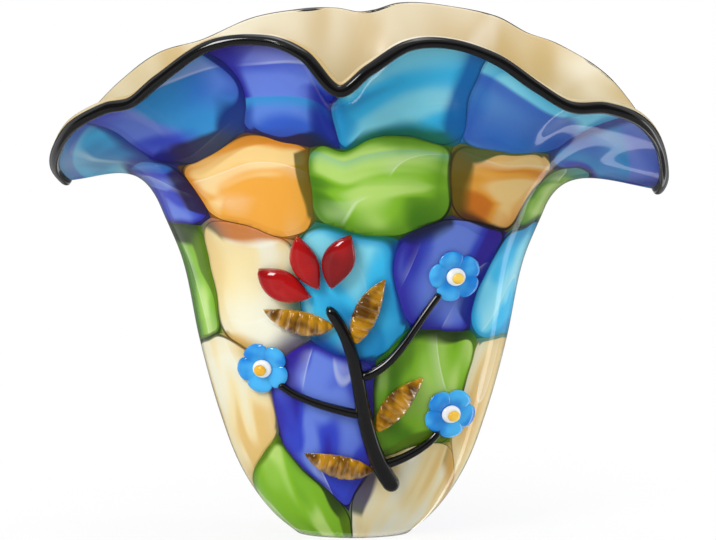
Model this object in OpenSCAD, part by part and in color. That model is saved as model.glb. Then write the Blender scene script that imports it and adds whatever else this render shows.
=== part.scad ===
// Handkerchief-lipped art glass vase: opal lining, coloured shards, clear casing, black lip wrap
// and an applied flowering twig of hot glass on the front.
// Millimetres, +Z up, front toward -Y, the foot stands on z = 0.

/* [Body] */
// Height at which the wall turns outward into the lip
neck_height = 188; // [150:1:230]
// Half of the body's width at that height
neck_half_width = 109; // [85:0.5:135]
// Half of the body's depth at that height
neck_half_depth = 65; // [50:0.5:85]
// Half of the foot's width
foot_half_width = 32.5; // [24:0.5:42]
// Half of the foot's depth
foot_half_depth = 19.5; // [14:0.5:28]

/* [Lip] */
// Height of the lip's highest crest
lip_height = 298; // [260:1:340]
// Half of the lip's width
lip_half_width = 176; // [145:1:210]
// Half of the lip's depth
lip_half_depth = 104; // [80:1:130]
// Width of the straight band under the lip's edge that carries the wrap
lip_band = 5.8; // [5:0.1:8]

/* [Glass layers] */
// Thickness of the clear outer casing
casing_wall = 1.6; // [1.2:0.1:2.4]
// Space between casing and lining that the shards lie in
shard_layer = 2.6; // [2.2:0.1:3.2]
// Thickness of one shard
shard_wall = 0.8; // [0.6:0.1:1.2]
// Width of the seam between two shards
shard_seam = 1.8; // [1:0.1:4]
// Thickness of the opal lining
lining_wall = 1.6; // [1.2:0.1:3]
// Thickness of the clear base under the lining
clear_floor = 2.5; // [2:0.1:4]
// Thickness of the lining's floor
lining_floor = 10.5; // [7:0.5:14]

/* [Lip wrap] */
// How far the black wrap reaches down the wall from the lip's edge
wrap_width = 4.6; // [3.6:0.1:5]
// How far the wrap stands off the wall
wrap_height = 2.8; // [1.8:0.1:4]
// How far the wrap stands over the lip's edge
wrap_rise = 1.1; // [0.8:0.1:1.8]
// Width of the lining's edge that the wrap leaves bare
wrap_reveal = 1.6; // [1.2:0.1:2.4]

/* [Twig] */
// Width of the stem
stem_width = 10; // [7:0.5:14]
// How far the stem stands off the wall
stem_height = 7; // [4:0.5:10]
// Width of a side branch
branch_width = 5.6; // [4:0.2:8]
// How far a branch stands off the wall
branch_height = 4.4; // [3:0.2:6]
// Length of a leaf
leaf_length = 40; // [28:1:48]
// Width of a leaf
leaf_width = 14; // [9:0.5:18]
// How far a leaf stands off the wall
leaf_height = 5; // [3:0.5:7]
// Ribs pressed across each leaf
leaf_ribs = 7; // [5:1:9]
// Radius of a blossom's petals
blossom_radius = 15; // [11:0.5:18]
// Thickness of the petals
petal_height = 2.6; // [1.6:0.2:4]
// Radius of the white heart
heart_radius = 6.4; // [4:0.2:8]
// Thickness of the white heart
heart_height = 1.8; // [1:0.2:3]
// Radius of the amber bead in the heart
bead_radius = 3.2; // [2:0.2:4]
// Height of the amber bead
bead_height = 2.4; // [1.4:0.2:4]
// Length of a red flower's petal
red_length = 42; // [28:1:48]
// Width of a red flower's petal
red_width = 18; // [12:0.5:22]
// How far a red petal stands off the wall
red_height = 8; // [5:0.5:10]

/* [Hidden] */
// Play between applied pieces and the wall that they are fused to
seat = 0.15;
full_turn = 360;
half_turn = full_turn / 2;
// Step used to measure slopes
small_turn = 0.4;
small_share = 0.004;

// Body profile: share of the neck's height, share of the way from foot to neck
body_shares = [[0, 0], [.05, .15], [.12, .293], [.22, .436], [.37, .571], [.60, .723], [.84, .843], [1, 1]];

// Lip: angle round the vase (-90 is the front), share of the reach, share of the height,
// rise of the glass at the edge in degrees, how fast the wall turns at the neck
lip_shares = [
    [-180, .932, .682, -3, 1.38],
    [-170, .974, .711, -3, 1.26],
    [-160, 1.003, .752, -1, 1],
    [-150, 1.018, .802, 2, .68],
    [-141, 1, .838, 10, .68],
    [-134.5, .985, .853, 20, .74],
    [-129, .965, .894, 32, .8],
    [-118, .945, .961, 50, .95],
    [-107, .931, .973, 58, 1],
    [-99, .972, .946, 45, 1],
    [-92.5, 1.015, .882, 25, .95],
    [-87, .995, .92, 38, 1],
    [-79.5, .95, .964, 56, 1],
    [-71, .935, .966, 58, 1],
    [-62, .948, .936, 48, .95],
    [-54, .97, .884, 32, .85],
    [-47, .995, .845, 18, .75],
    [-38, 1.01, .838, 10, .68],
    [-28, 1.024, .811, 4, .68],
    [-17, 1.022, .758, -2, .8],
    [-7, 1.012, .692, -7, .96],
    [0, .992, .664, -9, 1.04],
    [7, .99, .686, -8, .98],
    [15, 1, .744, -4, .8],
    [24, 1.002, .803, 2, .7],
    [34, .995, .864, 14, .7],
    [46, .977, .917, 32, .85],
    [53, .966, .938, 42, .9],
    [60, .956, .97, 50, .95],
    [72, .938, .992, 57, 1],
    [80, .933, .9945, 58, 1],
    [85, .94, .98, 56, 1],
    [89, .966, .974, 50, 1],
    [94, .955, .983, 54, 1],
    [101, .932, .982, 57, 1],
    [111, .943, .966, 54, 1],
    [122, .957, .923, 44, .9],
    [132, .972, .898, 34, .85],
    [142, .979, .845, 18, .74],
    [152, .982, .785, 4, .8],
    [166, .958, .718, -3, 1.18]
];
// Share of the flare's chord that shapes its turn
turn_share = .42;

// Columns round the vase, crowded toward front and back, with one in the lip's front notch
columns = 56;
crowd = 4.5;
first_column = -182.5;
// Rows up the wall: 0 foot, 1 neck, 2 lip; the last row lies at the lip's band
row_shares = [.09, .18, .29, .50, .85, 1.03, 1.22, 1.43, 1.62, 1.79];
floor_row = clear_floor / neck_height;

// Shards: name, colour index, angle round the vase, place up the wall
shard_shares = [
    ["shard_green_01", 0, -132, .15],
    ["shard_cream_01", 3, -52, .13],
    ["shard_cobalt_01", 1, 48, .15],
    ["shard_green_02", 0, 132, .14],
    ["shard_cream_02", 3, -150, .44],
    ["shard_cobalt_02", 1, -103, .42],
    ["shard_green_03", 0, -60, .46],
    ["shard_cream_03", 3, -22, .44],
    ["shard_aqua_01", 2, 34, .44],
    ["shard_green_04", 0, 92, .42],
    ["shard_cobalt_03", 1, 152, .45],
    ["shard_green_05", 0, -162, .82],
    ["shard_cream_04", 3, -126, .77],
    ["shard_aqua_02", 2, -91, .80],
    ["shard_cobalt_04", 1, -58, .86],
    ["shard_aqua_03", 2, -20, .80],
    ["shard_cream_05", 3, 30, .84],
    ["shard_aqua_04", 2, 84, .82],
    ["shard_green_09", 0, 144, .82],
    ["shard_cobalt_05", 1, -158, 1.18],
    ["shard_amber_01", 4, -119, 1.24],
    ["shard_green_06", 0, -82, 1.22],
    ["shard_amber_02", 4, -46, 1.27],
    ["shard_green_07", 0, -14, 1.20],
    ["shard_amber_03", 4, 46, 1.24],
    ["shard_green_08", 0, 96, 1.24],
    ["shard_amber_04", 4, 152, 1.22],
    ["shard_aqua_05", 2, -163, 1.66],
    ["shard_cobalt_06", 1, -132, 1.68],
    ["shard_cobalt_07", 1, -106, 1.70],
    ["shard_aqua_06", 2, -78, 1.70],
    ["shard_aqua_07", 2, -49, 1.70],
    ["shard_cobalt_08", 1, -18, 1.64],
    ["shard_aqua_08", 2, 18, 1.64],
    ["shard_cobalt_09", 1, 62, 1.70],
    ["shard_aqua_09", 2, 115, 1.70],
    ["shard_cobalt_10", 1, 156, 1.66]
];
// The shards' map: its shares of the neck's height for a degree, for the body and for the flare
map_degree_share = .0088;
map_body_share = 1.05;
map_flare_share = .62;
// Lowest and highest place that shards reach
shard_low_share = .026;
shard_high_share = 1.925;
// How tightly a shard's corners follow its seams
corner_power = 7;
shard_spokes = 13;

// Twig, in shares of the neck's half width across and of its height up
stem_shares = [[.22, .17], [-.03, .38], [.10, .58], [-.13, .74]];
stem_taper = .38;
blossom_shares = [[.52, .825], [-.46, .545], [.50, .40]];
// Branches: place along the stem, side, bend at the root, side from which the end meets its blossom
branch_lean = 12;
branch_shares = [[.60, 1, .30, 228], [.40, -1, .24, 318], [.14, 1, .22, 236]];
// Leaves: place along the stem, side, direction in degrees
leaf_shares = [[.88, -1, 168], [.78, 1, 66], [.10, -1, 166], [.30, 1, 50]];
red_lean = 112;
red_spread = 41;
// Play between pieces of the twig that meet
join_gap = 0.3;

colours = [[.42, .68, .16], [.16, .17, .66], [.35, .75, .85], [.93, .86, .70], [.90, .60, .22]];
black_glass = [.03, .03, .035];
amber_glass = [.72, .44, .08];
red_glass = [.62, .04, .06];

// Curves through the tables

function unit(v) = v / norm(v);
function rise(tab, i) = (tab[i + 1][1] - tab[i][1]) / (tab[i + 1][0] - tab[i][0]);
function slope(tab, i) =
    i <= 0 ? rise(tab, 0)
    : i >= len(tab) - 1 ? rise(tab, len(tab) - 2)
    : let (a = rise(tab, i - 1), b = rise(tab, i),
           ha = tab[i][0] - tab[i - 1][0], hb = tab[i + 1][0] - tab[i][0])
      a * b <= 0 ? 0 : (ha + hb) / (ha / b + hb / a);
function hermite(y0, y1, m0, m1, h, u) =
    (2 * u * u * u - 3 * u * u + 1) * y0 + (u * u * u - 2 * u * u + u) * h * m0
    + (3 * u * u - 2 * u * u * u) * y1 + (u * u * u - u * u) * h * m1;
function place(tab, x, i = 0) = i >= len(tab) - 2 || x < tab[i + 1][0] ? i : place(tab, x, i + 1);
function curve(tab, x) =
    let (i = place(tab, x), h = tab[i + 1][0] - tab[i][0], u = (x - tab[i][0]) / h)
    hermite(tab[i][1], tab[i + 1][1], slope(tab, i), slope(tab, i + 1), h, u);

// The lip's table runs round and closes on itself
function lip_row(i) =
    let (n = len(lip_shares), k = ((i % n) + n) % n, turns = floor(i / n))
    [for (c = [0:4]) lip_shares[k][c] + (c == 0 ? full_turn * turns : 0)];
// The same angle within a turn that starts at another one
function turn_from(first, t) = ((t - first) % full_turn + full_turn) % full_turn + first;
function lip_place(t, i = 0) = t < lip_row(i + 1)[0] ? i : lip_place(t, i + 1);
function lip_at(t) =
    let (w = turn_from(-half_turn, t), i = lip_place(w),
         a = lip_row(i - 1), b = lip_row(i), c = lip_row(i + 1), d = lip_row(i + 2),
         h = c[0] - b[0], u = (w - b[0]) / h, ma = (c - a) / (c[0] - a[0]), mb = (d - b) / (d[0] - b[0]))
    hermite(b, c, ma, mb, h, u);

// The wall's outer face: t is the angle round the vase, v is 0 at the foot, 1 at the neck, 2 at the lip

function body_width(v) = foot_half_width + (neck_half_width - foot_half_width) * curve(body_shares, v);
function body_depth(v) = foot_half_depth + (neck_half_depth - foot_half_depth) * curve(body_shares, v);
function flare(t) =
    let (r = lip_at(t), c = cos(t), s = sin(t), m = slope(body_shares, len(body_shares) - 1),
         n = [neck_half_width * c, neck_half_depth * s, neck_height],
         e = [lip_half_width * r[1] * c, lip_half_depth * r[1] * s, lip_height * r[2]],
         k = turn_share * norm(e - n),
         up = unit([(neck_half_width - foot_half_width) * m * c,
                    (neck_half_depth - foot_half_depth) * m * s, neck_height]),
         out = unit([e[0] - n[0], e[1] - n[1], 0]),
         edge = [out[0] * cos(r[3]), out[1] * cos(r[3]), sin(r[3])])
    [n, n + up * k * r[4], e - edge * k, e];
function bezier(p, u) =
    let (w = 1 - u)
    w * w * w * p[0] + 3 * w * w * u * p[1] + 3 * w * u * u * p[2] + u * u * u * p[3];
function wall(t, v) =
    v <= 1 ? [body_width(v) * cos(t), body_depth(v) * sin(t), neck_height * v] : bezier(flare(t), v - 1);
// Point on the wall, the outward direction there and the direction up the wall
function wall_frame(t, v) =
    let (a = max(0, v - small_share), b = min(2, v + small_share),
         up = wall(t, b) - wall(t, a),
         round = wall(t + small_turn, v) - wall(t - small_turn, v))
    [wall(t, v), unit(cross(round, up)), unit(up)];
function wall_inside(t, v, depth) = let (f = wall_frame(t, v)) f[0] - depth * f[1];
// The row at the lower border of the lip's band
function band_row(t) = let (p = flare(t)) 2 - lip_band / (3 * norm(p[3] - p[2]));

function column(i) = let (a = first_column + full_turn * i / columns) a + crowd * sin(2 * a);
function ring(v, depth) = [for (i = [0:columns - 1]) wall_inside(column(i), v, depth)];
function band_ring(depth) = [for (i = [0:columns - 1]) wall_inside(column(i), band_row(column(i)), depth)];
function rows_up(depth) = [for (v = row_shares) ring(v, depth)];
function turned(rows) = [for (i = [len(rows) - 1:-1:0]) rows[i]];
function at_height(row, z) = [for (p = row) [p[0], p[1], z]];

// The shells' own facets, for what lies on them: a point of the facet under t and v, at a depth
columns_round = [for (i = [0:columns]) column(i)];
function facet_place(list, x, i = 0) =
    i >= len(list) - 2 || x < list[i + 1] ? i : facet_place(list, x, i + 1);
function rows_of(t) = concat([0, floor_row], row_shares, [band_row(t), 2]);
function facet(t, v, depth) =
    let (w = turn_from(columns_round[0], t), i = facet_place(columns_round, w),
         ta = columns_round[i], tb = columns_round[i + 1], a = (w - ta) / (tb - ta),
         ra = rows_of(ta), rb = rows_of(tb), rows = (1 - a) * ra + a * rb,
         k = facet_place(rows, v), b = (v - rows[k]) / (rows[k + 1] - rows[k]),
         low = wall_inside(ta, ra[k], depth), high = wall_inside(tb, rb[k + 1], depth),
         side = b > a ? wall_inside(ta, ra[k + 1], depth) : wall_inside(tb, rb[k], depth))
    b > a ? low + b * (side - low) + a * (high - side) : low + a * (side - low) + b * (high - side);

// A closed solid from rings of like count, with a point at each end. Below the turn the quads are
// split one way and past it the other way, so that two shells that touch have the same facets
module loft(start, rings, finish, turn = 10000) {
    n = len(rings[0]);
    m = len(rings);
    last = n * m + 1;
    points = concat([start], [for (r = rings) each r], [finish]);
    faces = concat(
        [for (i = [0:n - 1]) [0, 1 + i, 1 + (i + 1) % n]],
        [for (k = [0:m - 2]) for (i = [0:n - 1])
            let (a = 1 + k * n + i, b = 1 + k * n + (i + 1) % n)
            each k < turn ? [[a, a + n, b + n], [a, b + n, b]] : [[a, a + n, b], [a + n, b + n, b]]],
        [for (i = [0:n - 1]) [last, 1 + (m - 1) * n + (i + 1) % n, 1 + (m - 1) * n + i]]);
    polyhedron(points, faces, convexity = 12);
}
// The same without ends, for a ring that closes on itself
module closed_loft(rings) {
    n = len(rings[0]);
    m = len(rings);
    points = [for (r = rings) each r];
    faces = [for (k = [0:m - 1]) for (i = [0:n - 1])
        let (next = (i + 1) % n, above = ((k + 1) % m) * n,
             a = k * n + i, b = k * n + next, c = above + i, d = above + next)
        each [[a, c, b], [b, c, d]]];
    polyhedron(points, faces, convexity = 12);
}

// Vessel

module clear_casing() {
    rings = concat(
        [ring(0, 0), ring(floor_row, 0)],
        rows_up(0),
        [band_ring(0), ring(2, 0), ring(2, casing_wall), band_ring(casing_wall)],
        turned(rows_up(casing_wall)),
        [ring(floor_row, casing_wall), at_height(ring(0, casing_wall), clear_floor)]);
    color([.85, .93, .95, .28])
        loft([0, 0, 0], rings, [0, 0, clear_floor], len(row_shares) + 4);
}

module opal_lining() {
    back = casing_wall + shard_layer;
    inner = back + lining_wall;
    top = clear_floor + lining_floor;
    rings = concat(
        [at_height(ring(0, back), clear_floor), ring(floor_row, back)],
        rows_up(back),
        [band_ring(back), band_ring(casing_wall), ring(2, casing_wall), ring(2, inner - wrap_reveal)],
        [ring(2, inner), band_ring(inner)],
        turned(rows_up(inner)),
        [at_height(ring(row_shares[0], inner), top)]);
    color([.95, .90, .76])
        loft([0, 0, clear_floor], rings, [0, 0, top], len(row_shares) + 5);
}

// The wrap's back lies on the casing's last row and on the lip's edge, and its face is a rounded bead
module lip_wrap() {
    edge = ring(2, 0);
    band = band_ring(0);
    far = casing_wall + shard_layer + lining_wall - wrap_reveal;
    // Spots down the wall: share of the reach down it and of the height off it
    face_shares = [[1, 0], [.98, .42], [.72, .90], [.20, 1]];
    // Spots over the edge: share of the way across it and of the rise over it
    over_shares = [[-.33, .8], [.45, 1], [1, 0], [casing_wall / far, 0], [0, 0]];
    function down(i, p) =
        let (off = wall_frame(column(i), 2)[1], s = p[0] * wrap_width / lip_band)
        (1 - s) * edge[i] + s * band[i] + (seat + p[1] * wrap_height) * off;
    function across(i, p) =
        let (f = wall_frame(column(i), 2))
        edge[i] + (seat - p[0] * far) * f[1] + (seat + p[1] * wrap_rise) * f[2];
    rings = concat(
        [for (p = face_shares) [for (i = [0:columns - 1]) down(i, p)]],
        [for (p = over_shares) [for (i = [0:columns - 1]) across(i, p)]]);
    color(black_glass)
        closed_loft(rings);
}

// Shards

function map_x(t) = t * map_degree_share;
function map_y(v) = v <= 1 ? v * map_body_share : map_body_share + (v - 1) * map_flare_share;
function map_v(y) = y <= map_body_share ? y / map_body_share : 1 + (y - map_body_share) / map_flare_share;
// Reach of shard k toward a seam, along a direction
function seam_reach(k, j, a) =
    let (dx = map_x(turn_from(-half_turn, shard_shares[j][2] - shard_shares[k][2])),
         dy = map_y(shard_shares[j][3]) - map_y(shard_shares[k][3]),
         far = norm([dx, dy]), c = (dx * cos(a) + dy * sin(a)) / far)
    c < .05 ? 0 : c / ((far - shard_seam / neck_height) / 2);
function end_reach(k, a) =
    let (y = map_y(shard_shares[k][3]), s = sin(a),
         room = s > 0 ? map_y(shard_high_share) - y : y - map_y(shard_low_share))
    abs(s) < .05 ? 0 : abs(s) / room;
function shard_reach(k, a) =
    let (p = concat([end_reach(k, a)], [for (j = [0:len(shard_shares) - 1]) if (j != k) seam_reach(k, j, a)]),
         total = [for (q = p) pow(q, corner_power)] * [for (q = p) 1])
    pow(total, -1 / corner_power);
function shard_spot(k, a, r) =
    let (x = map_x(shard_shares[k][2]) + r * cos(a), y = map_y(shard_shares[k][3]) + r * sin(a))
    [x / map_degree_share, map_v(y)];

module shard(k) {
    bent = shard_shares[k][3] > 1 || abs(cos(shard_shares[k][2])) > .78;
    steps = bent ? [1 / 3, 2 / 3, 1] : [.55, 1];
    mid = casing_wall + shard_layer / 2;
    outer = mid - shard_wall / 2;
    inner = mid + shard_wall / 2;
    turns = [for (i = [0:shard_spokes - 1]) full_turn * i / shard_spokes];
    reach = [for (a = turns) shard_reach(k, a)];
    spots = [for (s = steps) [for (i = [0:shard_spokes - 1]) shard_spot(k, turns[i], reach[i] * s)]];
    core = shard_spot(k, 0, 0);
    fronts = [for (f = spots) [for (p = f) facet(p[0], p[1], outer)]];
    backs = [for (f = spots) [for (p = f) facet(p[0], p[1], inner)]];
    color(colours[shard_shares[k][1]])
        loft(facet(core[0], core[1], inner), concat(backs, turned(fronts)), facet(core[0], core[1], outer));
}

// Twig, laid on the front of the body

function front_frame(p) =
    let (t = -acos(p[0] * neck_half_width / body_width(min(1, p[1]))), f = wall_frame(t, p[1]))
    [facet(t, p[1], 0), f[1], f[2]];
function route_frame(route, s) =
    let (f = front_frame(bezier(route, s)), a = front_frame(bezier(route, max(0, s - .01)))[0],
         b = front_frame(bezier(route, min(1, s + .01)))[0], along = unit(b - a))
    [f[0], f[1], along, unit(cross(f[1], along))];
// One rounded section: flat beneath, domed above
function bead_ring(f, width, height, sides) =
    [for (i = [0:sides - 1])
        let (a = full_turn * i / sides, up = sin(a) >= 0 ? .28 + .72 * sin(a) : .28 + .28 * sin(a))
        f[0] + (seat + height * up) * f[1] + width / 2 * cos(a) * f[3]];
module trail(route, width, height, taper, rings, sides) {
    places = [for (k = [0:rings - 1]) .5 - .5 * cos(half_turn * (k + .5) / rings)];
    function swell(s) = sqrt(1 - pow(1 - min(1, min(s, 1 - s) / .06 + .12), 2)) * (1 - taper * s);
    section = [for (s = places)
        let (w = swell(s)) bead_ring(route_frame(route, s), width * w, height * w, sides)];
    a = route_frame(route, 0);
    b = route_frame(route, 1);
    lift = seat + height * .2;
    loft(a[0] + lift * a[1], section, b[0] + lift * (1 - taper) * b[1]);
}

// Step along the wall, given by a direction and a length
function stride(direction, far) =
    [cos(direction) * far / neck_half_width, sin(direction) * far / neck_height];
function sideways(side) = side > 0 ? 0 : half_turn;
// Place beside the stem where a branch or a leaf joins it
function joint(s, side) =
    bezier(stem_shares, s) + stride(sideways(side), stem_width * (1 - stem_taper * s) * .54 + join_gap);
function branch_route(k) =
    let (b = branch_shares[k], root = joint(b[0], b[1]) + stride(sideways(b[1]), branch_width * .06),
         start = b[1] > 0 ? branch_lean : half_turn - branch_lean,
         meet = blossom_shares[k] + stride(b[3], blossom_radius + join_gap),
         far = norm([(meet[0] - root[0]) * neck_half_width, (meet[1] - root[1]) * neck_height]))
    [root, root + stride(start, far * b[2]), meet + stride(b[3], far * b[2]), meet];

module stem() {
    color(black_glass)
        trail(stem_shares, stem_width, stem_height, stem_taper, 12, 8);
}
module branch(k) {
    color(black_glass)
        trail(branch_route(k), branch_width, branch_height, .3, 9, 6);
}

// A leaf or petal lying on the wall: root, direction, length, width, height, ribs across it
module blade(root, direction, long, wide, high, ribs, fullness) {
    stations = ribs > 0 ? 2 * ribs + 1 : 8;
    reach = [cos(direction) * long / neck_half_width, sin(direction) * long / neck_height];
    bow = [-sin(direction) * long / neck_half_width, cos(direction) * long / neck_height] * .07;
    route = [root, root + reach / 3 + bow, root + 2 / 3 * reach + bow, root + reach];
    function outline(s) = pow(sin(half_turn * pow(s, fullness)), .8);
    section = [for (k = [0:stations - 1])
        let (s = (k + .5) / stations, w = outline(s), rib = ribs > 0 && k % 2 == 1 ? .62 : 1)
        bead_ring(route_frame(route, s), wide * w, high * rib * (.35 + .65 * w), 6)];
    a = route_frame(route, 0);
    b = route_frame(route, 1);
    loft(a[0] + (seat + high / 8) * a[1], section, b[0] + (seat + high / 8) * b[1]);
}
module leaf(k) {
    color(amber_glass)
        blade(joint(leaf_shares[k][0], leaf_shares[k][1]), leaf_shares[k][2],
              leaf_length, leaf_width, leaf_height, leaf_ribs, .85);
}
module red_petal(side) {
    lean = red_lean + side * red_spread;
    root = bezier(stem_shares, 1) + stride(red_lean, stem_width * .16) + stride(lean, red_width * .5);
    color(red_glass)
        blade(root, lean, red_length - red_width * .5, red_width * (side == 0 ? .86 : 1), red_height, 0, 1.1);
}

// Blossoms: a scalloped petal disc, a white heart and an amber bead, each seated on the last
module button(k, base, radius, height, spokes, scallop) {
    f = front_frame(blossom_shares[k]);
    function rim(i, share, lift) =
        let (a = full_turn * i / spokes, r = radius * share * (1 - scallop * (1 - abs(cos(2.5 * a)))),
             g = front_frame(blossom_shares[k] + stride(a + 90, r)))
        g[0] + (seat + base + lift) * g[1];
    edge_shares = [[.93, 0], [1, .35], [.72, .88]];
    rings = [for (q = edge_shares) [for (i = [0:spokes - 1]) rim(i, q[0], q[1] * height)]];
    loft(f[0] + (seat + base) * f[1], rings, f[0] + (seat + base + height) * f[1]);
}
module blossom_petals(k) {
    color(colours[2])
        button(k, 0, blossom_radius, petal_height, 20, .24);
}
module blossom_heart(k) {
    color([.96, .96, .94])
        button(k, petal_height, heart_radius, heart_height, 10, 0);
}
module blossom_bead(k) {
    color(amber_glass)
        button(k, petal_height + heart_height, bead_radius, bead_height, 8, 0);
}

opal_lining();
clear_casing();
lip_wrap();
for (k = [0:len(shard_shares) - 1])
    shard(k);
stem();
branch(0);  // branch_right
branch(1);  // branch_left
branch(2);  // branch_low
leaf(0);  // leaf_01
leaf(1);  // leaf_02
leaf(2);  // leaf_03
leaf(3);  // leaf_04
blossom_petals(0);  // blossom_petals_01
blossom_petals(1);  // blossom_petals_02
blossom_petals(2);  // blossom_petals_03
blossom_heart(0);  // blossom_heart_01
blossom_heart(1);  // blossom_heart_02
blossom_heart(2);  // blossom_heart_03
blossom_bead(0);  // blossom_bead_01
blossom_bead(1);  // blossom_bead_02
blossom_bead(2);  // blossom_bead_03
red_petal(1);  // red_petal_left
red_petal(0);  // red_petal_middle
red_petal(-1);  // red_petal_right
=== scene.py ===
"""A ruffle-lipped art glass vase: opal lining, coloured shards, clear casing, black wrap, flowering twig."""

import math
from functools import partialmethod

import bpy
import numpy as np
from mathutils import Matrix, Vector, noise


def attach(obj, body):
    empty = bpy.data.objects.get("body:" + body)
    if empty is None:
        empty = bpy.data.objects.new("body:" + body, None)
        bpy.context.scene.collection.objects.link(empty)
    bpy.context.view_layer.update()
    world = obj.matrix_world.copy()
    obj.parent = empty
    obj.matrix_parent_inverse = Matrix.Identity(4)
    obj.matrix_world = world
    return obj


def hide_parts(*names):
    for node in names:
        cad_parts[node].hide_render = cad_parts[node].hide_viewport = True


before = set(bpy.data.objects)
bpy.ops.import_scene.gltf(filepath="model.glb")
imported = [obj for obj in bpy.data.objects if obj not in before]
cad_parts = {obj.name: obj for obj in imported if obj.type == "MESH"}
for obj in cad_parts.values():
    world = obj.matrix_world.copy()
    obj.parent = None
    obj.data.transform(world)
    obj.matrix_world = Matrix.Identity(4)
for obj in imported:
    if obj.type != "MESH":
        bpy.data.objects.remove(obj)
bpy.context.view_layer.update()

MM = 0.001

# Body
NECK_HEIGHT = 188 * MM
NECK_HALF_WIDTH = 109 * MM
NECK_HALF_DEPTH = 65 * MM
FOOT_HALF_WIDTH = 32.5 * MM
FOOT_HALF_DEPTH = 19.5 * MM
# Lip
LIP_HEIGHT = 298 * MM
LIP_HALF_WIDTH = 176 * MM
LIP_HALF_DEPTH = 104 * MM
# Layers of the wall
CASING = 1.6 * MM
COLOUR_LAYER = 1.0 * MM
INNER_FACE = 5.8 * MM
SKIN_UNDER_FOOT = 1.4 * MM
OPAL_FLOOR = 13 * MM
OPAL_CLOUD = 55 * MM
# Heights between which the painted shade down in the hollow fades from its fullest to none
HOLLOW_SHADE_FULL, HOLLOW_SHADE_NONE = 235 * MM, 285 * MM
# Casing and lining reach a little into the colour, and their floors lie a gap apart
CASING_BACK = CASING + 0.3 * COLOUR_LAYER
LINING_FACE = CASING + 0.5 * COLOUR_LAYER
FOOT_GAP = 0.3 * MM
# Rows of the wall: the first and last of the layers, and where the two floors begin
FIRST_ROW, LAST_ROW = 0.02, 1.985
CASING_FLOOR_ROW, LINING_FLOOR_ROW = 0.01, 0.075
# Rounding of the layers' edges at the lip: depth into the wall, drop below the lip
CASING_EDGE = [(0, 0.35 * MM), (0.35 * MM, 0), (CASING_BACK, 0)]
LINING_EDGE = [
    (LINING_FACE, 0), (4.3 * MM, 0), (5.0 * MM, 0.1 * MM), (5.5 * MM, 0.45 * MM), (INNER_FACE, 1.0 * MM)]
# Wrap: half of its width and height, its middle down the wall and into it, and further in at the back
WRAP_HALF_WIDTH = 2.9 * MM
WRAP_HALF_HEIGHT = 3.5 * MM
WRAP_DOWN = 1.5 * MM
WRAP_IN = 0.75 * MM
WRAP_IN_BEHIND = 1.5 * MM
WRAP_UNEVENNESS = 0.3
# Twig
STEM_WIDTH = 10 * MM
STEM_HEIGHT = 7 * MM
STEM_TAPER = 0.38
STEM_EDGE_SHARE = 0.54
BRANCH_WIDTH = 5.6 * MM
BRANCH_HEIGHT = 4.4 * MM
BRANCH_TAPER = 0.3
BRANCH_LEAN = 12
BRANCH_SHIFT_SHARE = 0.06
# How far a branch reaches into the stem and under its blossom, in shares of the stem and of the blossom
STEM_REACH_SHARE, BLOSSOM_REACH_SHARE = 0.3, 0.2
LEAF_BOW_SHARE = 0.07
LEAF_LENGTH = 40 * MM
LEAF_WIDTH = 14 * MM
LEAF_HEIGHT = 5 * MM
LEAF_RIBS = 7
LEAF_RIB_DEPTH = 0.45
LEAF_FULLNESS = 0.85
BLOSSOM_RADIUS = 15 * MM
BLOSSOM_PETALS = 5
BLOSSOM_TURN = 13
PETAL_LENGTH = 0.88 * BLOSSOM_RADIUS
PETAL_WIDTH = 0.92 * BLOSSOM_RADIUS
PETAL_HEIGHT = 3.0 * MM
PETAL_ROOT = 0.1 * BLOSSOM_RADIUS
HEART_RADIUS = 5.2 * MM
HEART_HEIGHT = 1.4 * MM
BEAD_RADIUS = 3.2 * MM
BEAD_HEIGHT = 2.4 * MM
# Where a heart and a bead begin, in shares of the petals' height and of the heart's
HEART_BASE_SHARE, BEAD_BASE_SHARE = 0.3, 0.9
RED_LENGTH = 42 * MM
RED_WIDTH = 18 * MM
RED_HEIGHT = 8 * MM
RED_GROOVE = 0.22
RED_FULLNESS = 1.1
RED_MIDDLE_SHARE = 0.86
RED_LEAN = 112
RED_SPREAD = 41
RED_ROOT_SHARE = 0.16
SEAT = 0.05 * MM
JOIN_GAP = 0.3 * MM

# Body profile: share of the neck's height, share of the way from foot to neck
BODY_SHARES = [(0, 0), (.05, .15), (.12, .293), (.22, .436), (.37, .571), (.60, .723), (.84, .843), (1, 1)]
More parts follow.
